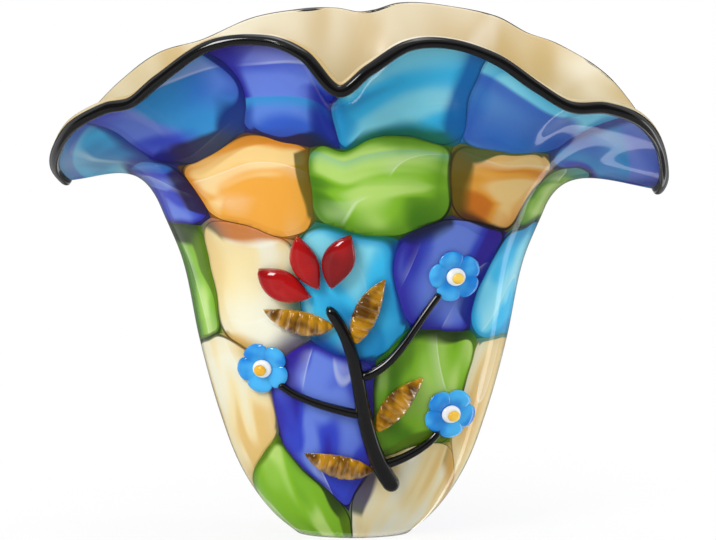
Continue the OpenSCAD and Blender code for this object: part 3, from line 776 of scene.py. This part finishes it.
def opal_material():
    """Warm opal white: honey clouds, soft upright folds painted as pale light on the lining's folds, and
    painted shade deeper down in the hollow.
    """
    material, nodes, surface = new_material("opal_glass")
    place = nodes.place()
    upright = nodes.out("Mapping", {"Vector": place, "Scale": (1.3, 1.3, 0.45)})
    flow = nodes.group(GLASS_FLOW, {"Size": OPAL_CLOUD, "Soft": 9.0, "Place": upright})
    height = nodes.split(place)[2]
    body = nodes.coats(
        nodes.mix(flow["Cloud"], srgb(200, 172, 114), srgb(234, 226, 200)),
        (nodes.times(flow["Tone"], 0.5), srgb(220, 203, 170)),
        # Painted light: pale streaks along the crests of the lining's upright folds
        (nodes.times(flow["Fold"], 0.5), srgb(238, 230, 212)),
        # Painted shade: the lining turns darker down in the hollow, fading out by the upper height
        (nodes.ramp(height, HOLLOW_SHADE_FULL, HOLLOW_SHADE_NONE, 0.55, 0.0), srgb(176, 158, 108)))
    nodes.fill(surface, {
        "Base Color": body, "Normal": nodes.bump(nodes.clouds(place, 16.0, 1.0), 0.6, 2 * MM),
        "Roughness": 0.24, "Coat Weight": 0.1, "Coat Roughness": 0.05})
    return material


def black_material():
    material, nodes, surface = new_material("black_glass")
    smear = nodes.clouds(nodes.place(), 60.0, 1.0)
    nodes.fill(surface, {
        "Base Color": nodes.mix(smear, (0.0012, 0.0012, 0.0015, 1), (0.004, 0.0035, 0.0035, 1)),
        "Normal": nodes.bump(smear, 0.3, 1 * MM), "Roughness": 0.2, "Specular IOR Level": 0.1,
        "Coat Weight": 1.0, "Coat Roughness": 0.03, "Coat IOR": 1.6})
    return material


def clouded_glass(name, scale, roughness, low, high, first, second, look, slot=None):
    """Glass of two tones in clouds; look is its surface by the names of the sockets."""
    material, nodes, surface = new_material(name, slot)
    cloud = nodes.ramp(nodes.clouds(nodes.place(), scale, 2.0, roughness), low, high)
    nodes.fill(surface, {"Base Color": nodes.mix(cloud, first, second), **look})
    return material


def red_material():
    """Clear red glass over a bright wall: deep where it is thick, glowing at its thin edges."""
    material, nodes, surface = new_material("red_glass")
    cloud = nodes.ramp(nodes.clouds(nodes.place(), 22.0, 2.0, 0.6), 0.36, 0.64)
    edge = nodes.ramp(nodes.out("LayerWeight", {"Blend": 0.35}, 1), 0.35, 0.9, 0.0, 0.8)
    body = nodes.coats(srgb(170, 14, 16), (cloud, srgb(120, 8, 14)), (edge, srgb(214, 52, 12)))
    nodes.fill(surface, {
        "Base Color": body, "Roughness": 0.03, "IOR": 1.5, "Coat Weight": 0.6, "Coat Roughness": 0.02})
    return material


def enamel_material(name, first, second, slot=None):
    """Opaque glossy glass with a slow change of tone."""
    look = {"Roughness": 0.06, "Coat Weight": 0.5, "Coat Roughness": 0.02}
    return clouded_glass(name, 60.0, 0.5, 0.35, 0.65, first, second, look, slot)


# Deep, full and pale tone of each colour, the tone of its streaks, and the size of its clouds
SHARD_TONES = {
    "green": (srgb(66, 122, 12), srgb(138, 192, 46), srgb(190, 220, 122), srgb(70, 170, 190), 0.06),
    "cobalt": (srgb(50, 22, 146), srgb(56, 74, 198), srgb(112, 140, 222), srgb(54, 160, 214), 0.05),
    "aqua": (srgb(8, 128, 190), srgb(62, 196, 238), srgb(142, 224, 240), srgb(50, 84, 190), 0.05),
    "cream": (srgb(222, 188, 116), srgb(234, 220, 174), srgb(232, 230, 210), srgb(216, 174, 92), 0.06),
    "amber": (srgb(204, 112, 14), srgb(232, 172, 68), srgb(238, 210, 144), srgb(200, 130, 30), 0.06),
}
shard_glass = {tone: shard_material(tone + "_glass", *look) for tone, look in SHARD_TONES.items()}
clear_glass = clear_material()
opal_glass = opal_material()
black_glass = black_material()
# Browner where it is thick, and clear enough to show the shards below
amber_glass = clouded_glass("amber_clear_glass", 80.0, 0.6, 0.36, 0.64, srgb(210, 152, 26), srgb(108, 66, 4),
                            {"Roughness": 0.02, "IOR": 1.5, "Transmission Weight": 0.3})
red_glass = red_material()
honey_glass = enamel_material("honey_glass", srgb(236, 180, 50), srgb(250, 214, 96), "amber_clear_glass")
azure_glass = enamel_material("azure_glass", srgb(24, 128, 216), srgb(70, 176, 238))
white_glass = enamel_material("white_glass", srgb(236, 238, 240), srgb(246, 246, 244))


# Vessel

def make_lining():
    mesh = shell_mesh("opal_inside", LINING_FACE, INNER_FACE, SKIN_UNDER_FOOT, LINING_FLOOR_ROW, OPAL_FLOOR,
                      LINING_EDGE)
    new_piece(mesh, opal_glass, "opal_lining")


def make_casing():
    mesh = shell_mesh("clear_skin", 0.0, CASING_BACK, 0.0, CASING_FLOOR_ROW, SKIN_UNDER_FOOT - FOOT_GAP,
                      CASING_EDGE)
    piece = new_piece(mesh, clear_glass, "clear_casing")
    piece.visible_shadow = False


def make_wrap():
    """The trail of black glass laid over the lip's edge, a little uneven as hand work is."""
    t = column_angles(WRAP_COLUMNS)
    point, outward, up = wall_frame(t, 2)
    # 1 along the back of the lip and 0 along its front
    back = np.clip(2 * np.sin(np.radians(t)), 0, 1)[:, None]
    path = path_mesh("lip_path", point - back * WRAP_IN_BEHIND * outward, True, outward=outward, upward=up)
    mesh = shaped("lip_bead", path, LIP_BEAD, {
        "Half Width": WRAP_HALF_WIDTH, "Half Height": WRAP_HALF_HEIGHT, "Down": WRAP_DOWN, "In": WRAP_IN,
        "Sides": WRAP_SIDES, "Unevenness": WRAP_UNEVENNESS, "Glass": black_glass})
    new_piece(mesh, black_glass, "lip_wrap")


# Shards

noise.seed_set(DRIFT_SEED)


def map_x(t):
    return np.asarray(t) * MAP_DEGREE_SHARE * NECK_HEIGHT / MM


def map_y(v):
    v = np.asarray(v)
    body = v * MAP_BODY_SHARE
    flare = MAP_BODY_SHARE + (v - 1) * MAP_FLARE_SHARE
    return np.where(v <= 1, body, flare) * NECK_HEIGHT / MM


def turned_gap(gap):
    turn = map_x(360.0)
    return (gap + turn / 2) % turn - turn / 2


def drifted_map(t, v):
    """Place on the shards' map, with the drift that softens the seams."""
    outer = inside(t, v, CASING)
    drift = 0
    for size, push in DRIFT:
        drift = drift + push * np.array([noise.noise_vector(Vector(p) / size) for p in outer])
    return np.stack([map_x(t) + drift[:, 0], map_y(v) + drift[:, 2]], -1)


def squared_reach(spots, centres):
    gap = spots[:, None] - centres
    return turned_gap(gap[..., 0])**2 + gap[..., 1]**2


def shard_edges(spots, own, centres, tones):
    """For each place in a shard: distance in mm from its edge, round at the corners, the deep tone of what
    lies beside it and how far the shard lies under that."""
    far = squared_reach(spots, centres)
    gap = centres - centres[own]
    gap[:, 0] = turned_gap(gap[:, 0])
    span = np.linalg.norm(gap, axis=1)
    span[own] = 1
    edge = (far - far[:, own:own + 1]) / (2 * span)
    edge[:, own] = np.inf
    edge = np.maximum(edge, 0)
    near = np.linalg.norm(np.maximum(0, CORNER_MM - edge), axis=1)
    rounded = np.where(near > 0, CORNER_MM - near, edge.min(axis=1))
    weight = np.exp(-(edge - edge.min(axis=1, keepdims=True)) / BLEND_MM)
    weight /= weight.sum(axis=1, keepdims=True)
    rank = np.arange(len(centres)) * LAP_STEP % len(centres)
    under = weight @ (rank[own] < rank).astype(float)
    return rounded, weight @ tones, under


def settle_seams(t, v, owners, centres):
    """Moves the grid's points beside two or three shards on to the seam between them."""
    rows = len(t)
    cell_t, cell_v = np.diff(t[0]).mean(), np.diff(v[:, 0]).mean()
    found = []
    for i in range(rows):
        cells = owners[max(i - 1, 0):i + 1]
        cells = np.concatenate([cells, np.roll(cells, 1, axis=1)]).T
        for j in np.flatnonzero(cells.min(axis=1) != cells.max(axis=1)):
            near = sorted(set(cells[j].tolist()))[:3]
            found.append((i, j, near[0], near[1], near[-1]))
    row, column, first, second, third = np.array(found).T
    fixed = (row == 0) | (row == rows - 1)
    start_t, start_v = t[row, column], v[row, column]
    now_t, now_v = start_t, start_v
    many = np.arange(len(row))

    def misses(a, b):
        """How much nearer each point lies to one of its shards than to the others; 0 on the seam."""
        far = squared_reach(drifted_map(a, b), centres)
        return np.stack([far[many, second] - far[many, first], far[many, third] - far[many, first]])

    def moved(start, now, step, cell):
        return start + np.clip(now - start + step * cell, -SETTLE_REACH * cell, SETTLE_REACH * cell)

    for _ in range(SETTLE_ROUNDS):
        miss = misses(now_t, now_v)
        by_t = (misses(now_t + cell_t * SETTLE_PROBE, now_v) - miss) / SETTLE_PROBE
        by_v = (misses(now_t, np.minimum(2, now_v + cell_v * SETTLE_PROBE)) - miss) / SETTLE_PROBE
        by_v[:, fixed] = 0
        size = by_t[0]**2 + by_v[0]**2 + SETTLE_SLOPE
        step_t, step_v = -miss[0] * by_t[0] / size, -miss[0] * by_v[0] / size
        cross = by_t[0] * by_v[1] - by_t[1] * by_v[0]
        corner = (second != third) & ~fixed & (np.abs(cross) > SETTLE_CROSSING)
        divide = np.where(corner, cross, 1)
        step_t = np.where(corner, (miss[1] * by_v[0] - miss[0] * by_v[1]) / divide, step_t)
        step_v = np.where(corner, (miss[0] * by_t[1] - miss[1] * by_t[0]) / divide, step_v)
        now_t, now_v = moved(start_t, now_t, step_t, cell_t), moved(start_v, now_v, step_v, cell_v)
    t[row, column], v[row, column] = now_t, now_v


def make_shards():
    """The coloured layer: each shard a thin curved plate whose edge meets its neighbours' edges."""
    t, v = np.meshgrid(column_angles(SHARD_COLUMNS), np.linspace(0.0, LAST_ROW, SHARD_ROWS))
    centres = np.array([(map_x(a), map_y(b)) for _, a, b in SHARDS], float)
    middle_t = (t[:-1] + 180 / SHARD_COLUMNS).ravel()
    middle_v = ((v[:-1] + v[1:]) / 2).ravel()
    owners = np.argmin(squared_reach(drifted_map(middle_t, middle_v), centres), axis=1)
    settle_seams(t, v, owners.reshape(SHARD_ROWS - 1, SHARD_COLUMNS), centres)
    t, v = t.ravel(), v.ravel()
    point, outward, _ = wall_frame(t, v)
    spots = drifted_map(t, v)
    drawn = np.clip((v - DRAWN_FROM) / DRAWN_OVER, 0, 1)
    radius = CLOUD_RADIUS * (1 - CLOUD_NARROWING * np.clip((v - NARROW_FROM) / NARROW_OVER, 0, 1))
    turn = np.radians(t)
    lay = np.stack([radius * np.cos(turn), radius * np.sin(turn), map_y(v) * MM], -1)
    numbers = np.arange(SHARD_ROWS * SHARD_COLUMNS).reshape(SHARD_ROWS, SHARD_COLUMNS)
    quads = np.stack([ring_faces(low, high) for low, high in zip(numbers[:-1], numbers[1:])]).reshape(-1, 4)
    tones = [name.split("_")[0] for name, _, _ in SHARDS]
    deep, full = (np.array([SHARD_TONES[tone][k] for tone in tones]) for k in (0, 1))
    shown = BESIDE_DEEP_SHARE * deep + (1 - BESIDE_DEEP_SHARE) * full
    for k, (name, _, _) in enumerate(SHARDS):
        used, local = np.unique(quads[owners == k], return_inverse=True)
        patch = mesh_of(name, point[used], local.reshape(-1, 4))
        seam, beside, under = shard_edges(spots[used], k, centres, shown)
        measure_points(patch, seam_mm=seam, drawn=drawn[used], under=under,
                       lay=lay[used] + CLOUD_STEPS * (k % CLOUD_CYCLES), outward=outward[used], beside=beside)
        glass = shard_glass[tones[k]]
        mesh = shaped("glass_shard_" + name, patch, GLASS_PLATE, {
            "Depth": CASING, "Thickness": COLOUR_LAYER, "Glass": glass})
        new_piece(mesh, glass, "shard_" + name)


# Twig: each piece is made flat, in metres across, up and off the wall, and then laid on the wall

def lay_on_wall(mesh):
    """Bends a flat piece on to the front of the vase: x across, y up the front, z off the wall."""
    flat = np.empty(len(mesh.vertices) * 3)
    mesh.vertices.foreach_get("co", flat)
    flat = flat.reshape(-1, 3)
    v = flat[:, 1] / NECK_HEIGHT
    t = -np.degrees(np.arccos(np.clip(flat[:, 0] / half_width(np.minimum(v, 1)), -1, 1)))
    point, outward, _ = wall_frame(t, v)
    laid = point + (flat[:, 2:] + SEAT) * outward
    mesh.vertices.foreach_set("co", laid.ravel())
    mesh.update()


def stride(direction, far):
    return np.array([math.cos(math.radians(direction)), math.sin(math.radians(direction))]) * far


def sideways(side, far):
    return stride(0 if side > 0 else 180, far)


def front(share):
    return np.array([share[0] * NECK_HALF_WIDTH, share[1] * NECK_HEIGHT])


STEM = [front(p) for p in STEM_SHARES]


def joint(s, side):
    """The place beside the stem where a branch or a leaf begins."""
    return bezier(STEM, s) + sideways(side, STEM_WIDTH * (1 - STEM_TAPER * s) * STEM_EDGE_SHARE + JOIN_GAP)


def branch_route(s, side, bend, meets, blossom):
    """A bent path from inside the stem to just under the edge of a blossom."""
    root = joint(s, side) + sideways(side, BRANCH_WIDTH * BRANCH_SHIFT_SHARE)
    meet = front(blossom) + stride(meets, BLOSSOM_RADIUS + JOIN_GAP)
    far = np.linalg.norm(meet - root)
    leave = BRANCH_LEAN if side > 0 else 180 - BRANCH_LEAN
    in_stem, in_blossom = STEM_WIDTH * STEM_REACH_SHARE, BLOSSOM_RADIUS * BLOSSOM_REACH_SHARE
    return [root - stride(leave, in_stem), root + stride(leave, far * bend),
            meet + stride(meets, far * bend), meet - stride(meets, in_blossom)]


def straight_route(root, direction, long):
    """A path that bows out to one side by a small share of its length."""
    reach, bow = stride(direction, long), stride(direction + 90, long * LEAF_BOW_SHARE)
    return [root, root + reach / 3 + bow, root + reach * 2 / 3 + bow, root + reach]


def trail_outline(taper):
    """The width along a trail: round ends, and narrower toward the far one."""
    end, least = .045, .06

    def at(s):
        near = np.minimum(1, np.minimum(s, 1 - s) / end)
        return np.maximum(least, np.sqrt(1 - (1 - near) ** 2)) * (1 - taper * s)
    return at


def blade_outline(fullness):
    return lambda s: np.maximum(.03, np.sin(math.pi * np.clip(s, .004, .996)**fullness) ** .8)


def blade_height(width):
    return (.3 + .7 * width) / width * np.minimum(1, width * 5)


def pull_glass(name, node, route, wide, high, outline, glass, fuller=np.ones_like, ribs=0, rib_depth=0.0,
               steps=BRANCH_STEPS, sides=TRAIL_SIDES):
    """A trail of glass along a flat route: its width follows the outline, its height is fuller than that."""
    s = np.linspace(0, 1, steps)
    width = outline(s)
    flat = np.column_stack([bezier(route, s), np.zeros(steps)])
    path = path_mesh(name + "_path", flat, spread=width, fuller=fuller(width))
    mesh = shaped(name, path, PULLED_GLASS, {
        "Width": wide, "Height": high, "Steps": steps, "Sides": sides, "Ribs": float(ribs),
        "Rib Depth": rib_depth, "Glass": glass})
    lay_on_wall(mesh)
    new_piece(mesh, glass, node)


def make_stem_and_branches():
    pull_glass("stem_trail", "stem", STEM, STEM_WIDTH, STEM_HEIGHT, trail_outline(STEM_TAPER), black_glass,
               steps=STEM_STEPS, sides=STEM_SIDES)
    for (name, s, side, bend, meets), blossom in zip(BRANCH_SHARES, BLOSSOM_SHARES):
        route = branch_route(s, side, bend, meets, blossom)
        pull_glass("branch_trail_" + name, "branch_" + name, route, BRANCH_WIDTH, BRANCH_HEIGHT,
                   trail_outline(BRANCH_TAPER), black_glass)


def make_leaves():
    for k, (s, side, direction) in enumerate(LEAF_SHARES, start=1):
        route = straight_route(joint(s, side), direction, LEAF_LENGTH)
        pull_glass(f"ribbed_leaf_{k:02d}", f"leaf_{k:02d}", route, LEAF_WIDTH, LEAF_HEIGHT,
                   blade_outline(LEAF_FULLNESS), amber_glass, blade_height, LEAF_RIBS, LEAF_RIB_DEPTH,
                   LEAF_STEPS)


def make_red_flower():
    for name, side, share in (("left", 1, 1), ("middle", 0, RED_MIDDLE_SHARE), ("right", -1, 1)):
        lean = RED_LEAN + side * RED_SPREAD
        tip = bezier(STEM, 1.0) + stride(RED_LEAN, STEM_WIDTH * RED_ROOT_SHARE)
        route = straight_route(tip + stride(lean, RED_WIDTH / 2), lean, RED_LENGTH - RED_WIDTH / 2)
        pull_glass("red_glass_petal_" + name, "red_petal_" + name, route, RED_WIDTH * share, RED_HEIGHT,
                   blade_outline(RED_FULLNESS), red_glass, blade_height, 1, RED_GROOVE)


def circle_angles(count):
    return 2 * math.pi * np.arange(count) / count


def petal_mesh(length, width, height):
    """One flattened gather of glass, from a narrow root at the middle to a round end."""
    rings = []
    a = circle_angles(PETAL_SIDES)
    lift = np.where(np.sin(a) >= 0, np.sin(a) * (.78 + .22 * np.cos(a)**2), .25 * np.sin(a)) + .25
    for s in (np.arange(PETAL_RINGS) + .5) / PETAL_RINGS:
        spread = math.sin(math.pi * s**1.5) ** .55
        rings.append(np.column_stack([length * s + 0 * a, width / 2 * spread * np.cos(a),
                                      height * (.25 + .6 * s) * spread * lift]))
    return loft_mesh("petal", rings, (0, 0, height * .1), (length, 0, height * .2))


def dome_mesh(name, radius, height, base):
    """A low dome that draws in a little under its widest ring."""
    a = circle_angles(DOME_SIDES)
    levels = [(.9, 0)] + [(math.cos(b), .15 + .85 * math.sin(b)) for b in np.linspace(0, 1.4, DOME_RINGS)]
    around = np.column_stack([radius * np.cos(a), radius * np.sin(a), 0 * a])
    loops = [flat_ring(around * r, base + height * z) for r, z in levels]
    return loft_mesh(name, loops, (0, 0, base), (0, 0, base + height))


def make_blossoms():
    """Rings of petals, each turned a little further than the last, with a heart and a bead on them."""
    for k, share in enumerate(BLOSSOM_SHARES, start=1):
        petal = petal_mesh(PETAL_LENGTH, PETAL_WIDTH, PETAL_HEIGHT)
        petals = shaped(f"flower_petals_{k:02d}", petal, PETAL_RING, {
            "Petals": BLOSSOM_PETALS, "Reach": PETAL_ROOT,
            "Turn": math.radians(90 + BLOSSOM_TURN * k), "Glass": azure_glass})
        sunk = PETAL_HEIGHT * HEART_BASE_SHARE
        heart = dome_mesh(f"flower_heart_{k:02d}", HEART_RADIUS, PETAL_HEIGHT - sunk + HEART_HEIGHT, sunk)
        bead = dome_mesh(f"flower_bead_{k:02d}", BEAD_RADIUS, BEAD_HEIGHT,
                         PETAL_HEIGHT + HEART_HEIGHT * BEAD_BASE_SHARE)
        for mesh, glass, node in ((petals, azure_glass, "petals"), (heart, white_glass, "heart"),
                                  (bead, honey_glass, "bead")):
            mesh.transform(Matrix.Translation((*front(share), 0)))
            lay_on_wall(mesh)
            new_piece(mesh, glass, f"blossom_{node}_{k:02d}")


# Studio

def seen_by(nodes, kind):
    return nodes.add("LightPath").outputs["Is " + kind + " Ray"]


def studio_level(nodes, x, y, up):
    """How bright the studio is toward a place: white behind the vase, flags beside that, dim in front."""
    side = nodes.over(nodes.size_of(x), nodes.most(y, 0.001))
    flag = nodes.ramp(side, 0.15, 0.19, 1.0, FLAG_LEVEL)
    flag = nodes.most(flag, nodes.ramp(side, 0.9, 1.3, 0.0, SIDE_LEVEL))
    flag = nodes.most(flag, nodes.ramp(up, 0.35, 0.6, 0.0, CEILING_LEVEL))
    dim = nodes.most(FRONT_LEVEL, nodes.ramp(up, 0.5, 0.8, 0.0, CEILING_LEVEL))
    behind = nodes.ramp(y, -0.02, 0.02)
    return nodes.plus(nodes.times(behind, flag), nodes.times(nodes.minus(1.0, behind), dim))


def painted_light_pools(nodes, x, y):
    """Pools of light painted into the floor's glow where the soft boxes would light it, seen in the glass as
    long highlights.
    """
    turn = nodes.maths("ARCTAN2", x, nodes.times(y, -1.0))
    light = 0.0
    for azimuth, half, level in PAINTED_LIGHT_POOLS:
        off = nodes.size_of(nodes.minus(turn, math.radians(azimuth)))
        core = math.radians(half * POOL_CORE_SHARE)
        light = nodes.most(light, nodes.ramp(off, core, math.radians(half), level, 0.0))
    return light


def ray_levels(nodes, plain, glossy, passing):
    """White to the camera, its own level to each kind of ray; a ray through glass counts as glossy too."""
    return nodes.coats(plain, (seen_by(nodes, "Glossy"), glossy), (seen_by(nodes, "Transmission"), passing),
                       (seen_by(nodes, "Camera"), WHITE))


def make_floor():
    """A white floor that keeps the shadow by the foot, and glows to the camera and in the glass."""
    corners = FLOOR_REACH * np.array([(-1, -1, 0), (1, -1, 0), (1, 1, 0), (-1, 1, 0)])
    mesh = mesh_of("studio_floor", corners, [(0, 1, 2, 3)])
    material, nodes, surface = new_material("studio_white")
    nodes.fill(surface, {"Base Color": grey(0.9), "Roughness": 0.9, "Specular IOR Level": 0.0})
    place = nodes.place()
    x, y, _ = nodes.split(place)
    # To mirror rays the floor glows with the studio's levels and the painted pools of light
    glossy = nodes.most(studio_level(nodes, x, y, 0.0), painted_light_pools(nodes, x, y))
    glow = nodes.out("Emission", {"Color": WHITE, "Strength": ray_levels(
        nodes, WHITE, glossy, grey(FLOOR_LIGHT))})
    far = nodes.out("VectorMath", {0: place}, 1, operation="LENGTH")
    seen = nodes.ramp(far, SHADOW_NEAR, SHADOW_END, FLOOR_GLOW_SEEN, 1.0)
    share = nodes.times(seen_by(nodes, "Camera"), seen)
    for kind, most in (("Glossy", FLOOR_GLOW_MIRRORED), ("Transmission", FLOOR_GLOW_PASSING)):
        share = nodes.most(share, nodes.times(seen_by(nodes, kind), most))
    paint = nodes.tree.nodes["Principled BSDF"].outputs[0]
    mixed = nodes.out("MixShader", {0: share, 1: paint, 2: glow})
    nodes.fill(nodes.tree.nodes["Material Output"].inputs, {"Surface": mixed})
    mesh.materials.append(material)
    in_scene("studio_floor", mesh)


def make_world():
    """White behind the vase, dimmer behind the camera, as a product studio is."""
    world = bpy.data.worlds.new("studio")
    bpy.context.scene.world = world
    world.use_nodes = True
    nodes = Nodes(world.node_tree)
    x, y, up = nodes.split(nodes.out("TexCoord", output=0))
    passing = nodes.ramp(y, 0.8, 0.95, LIGHT_THROUGH_SKIN, 1.0)
    level = ray_levels(nodes, grey(AMBIENT), studio_level(nodes, x, y, up), passing)
    nodes.fill(nodes.tree.nodes["Background"].inputs, {"Color": WHITE, "Strength": level})


def make_softboxes():
    """Area lamps. One that isn't mirrored lights the vase and leaves no white patch in the lining."""
    for name, (place, target, width, height, watts, mirrored) in SOFTBOXES.items():
        light = bpy.data.lights.new(name, "AREA")
        light.shape = "RECTANGLE"
        light.size, light.size_y = width, height
        light.energy = watts
        lamp = in_scene(name, light)
        lamp.location = place
        lamp.rotation_euler = (Vector(target) - Vector(place)).to_track_quat("-Z", "Y").to_euler()
        lamp.visible_glossy = mirrored


def make_camera():
    camera = bpy.data.cameras.new("camera")
    camera.sensor_width = 36
    camera.lens = camera.sensor_width * CAMERA_DISTANCE / (PIXEL * FRAME_WIDTH)
    eye = in_scene("camera", camera)
    e = math.radians(CAMERA_ELEVATION)
    eye.location = CAMERA_AIM + Vector((0, -math.cos(e), math.sin(e))) * CAMERA_DISTANCE
    eye.rotation_euler = (math.radians(90 - CAMERA_ELEVATION), 0, 0)
    bpy.context.scene.camera = eye


make_camera()
make_lining()
make_casing()
make_wrap()
make_shards()
make_stem_and_branches()
make_leaves()
make_red_flower()
make_blossoms()
make_floor()
make_world()
make_softboxes()
bpy.context.scene.view_settings.view_transform = "Standard"
